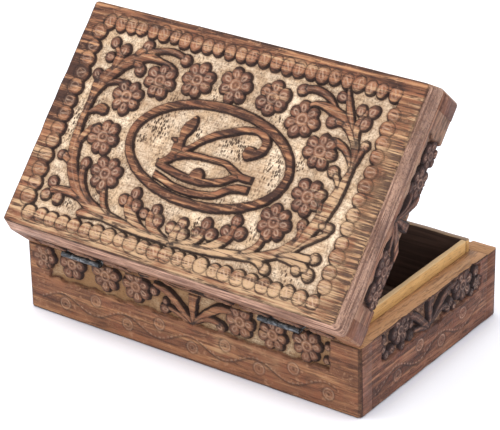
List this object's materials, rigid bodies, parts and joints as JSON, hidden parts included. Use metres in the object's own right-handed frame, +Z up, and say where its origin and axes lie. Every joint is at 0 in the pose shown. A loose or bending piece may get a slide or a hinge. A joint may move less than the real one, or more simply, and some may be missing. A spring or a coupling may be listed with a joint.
{
  "type": "wooden puzzle box",
  "caption": "Rectangular hand-carved wooden box with a hinged lid, ochre liner strips and a hidden sliding bolt lock in its front wall.",
  "frame": {"origin": "centre of the base's underside, on the floor board", "axes": "+X along the box's length, -Y towards the opening front, +Y towards the hinges, +Z up"},
  "size_m": [0.203, 0.1493, 0.149],
  "materials": {
    "carved_wood": "waxed, hand carved, limewashed in the carved ground",
    "liner_wood": "unstained, sanded",
    "lock_wood": "unstained, rubbed",
    "floor_wood": "dark stained",
    "hinge_iron": "blackened, worn",
    "nail_steel": "dull"
  },
  "bodies": {
    "base": {"base_front_wall": "carved_wood", "base_rear_wall": "carved_wood", "base_left_wall": "carved_wood", "base_right_wall": "carved_wood", "liner_front": "liner_wood", "liner_left": "liner_wood", "liner_right": "liner_wood", "base_floor": "floor_wood", "hinge_left_base_leaf": "hinge_iron", "hinge_right_base_leaf": "hinge_iron", "hinge_left_pin": "nail_steel", "hinge_right_pin": "nail_steel", "floor_nail_1": "nail_steel", "floor_nail_2": "nail_steel", "floor_nail_3": "nail_steel", "floor_nail_4": "nail_steel", "floor_nail_5": "nail_steel", "floor_nail_6": "nail_steel", "floor_nail_7": "nail_steel", "floor_nail_8": "nail_steel", "hinge_left_base_nail_1": "nail_steel", "hinge_left_base_nail_2": "nail_steel", "hinge_right_base_nail_1": "nail_steel", "hinge_right_base_nail_2": "nail_steel"},
    "lid": {"lid_top_panel": "carved_wood", "lid_front_rail": "carved_wood", "lid_rear_rail": "carved_wood", "lid_left_rail": "carved_wood", "lid_right_rail": "carved_wood", "lid_catch": "hinge_iron", "catch_nail_1": "nail_steel", "catch_nail_2": "nail_steel", "hinge_left_lid_leaf": "hinge_iron", "hinge_right_lid_leaf": "hinge_iron", "hinge_left_lid_nail_1": "nail_steel", "hinge_left_lid_nail_2": "nail_steel", "hinge_right_lid_nail_1": "nail_steel", "hinge_right_lid_nail_2": "nail_steel"},
    "lock_slide": {"key_strip": "carved_wood", "link_pin": "lock_wood", "lock_bolt": "lock_wood"},
    "peg": {"stop_peg": "carved_wood"}
  },
  "joints": [
    {"name": "lid_hinge", "type": "hinge", "parent": "base", "child": "lid", "pos_m": [0, 0.0636, 0.03775], "axis": [-1, 0, 0], "range_deg": [-48, 57]},
    {"name": "key_slide", "type": "slide", "parent": "base", "child": "lock_slide", "axis": [-1, 0, 0], "range_m": [0, 0.01]},
    {"name": "peg_slide", "type": "slide", "parent": "lock_slide", "child": "peg", "axis": [0, 1, 0], "range_m": [0, 0.0037]}
  ]
}
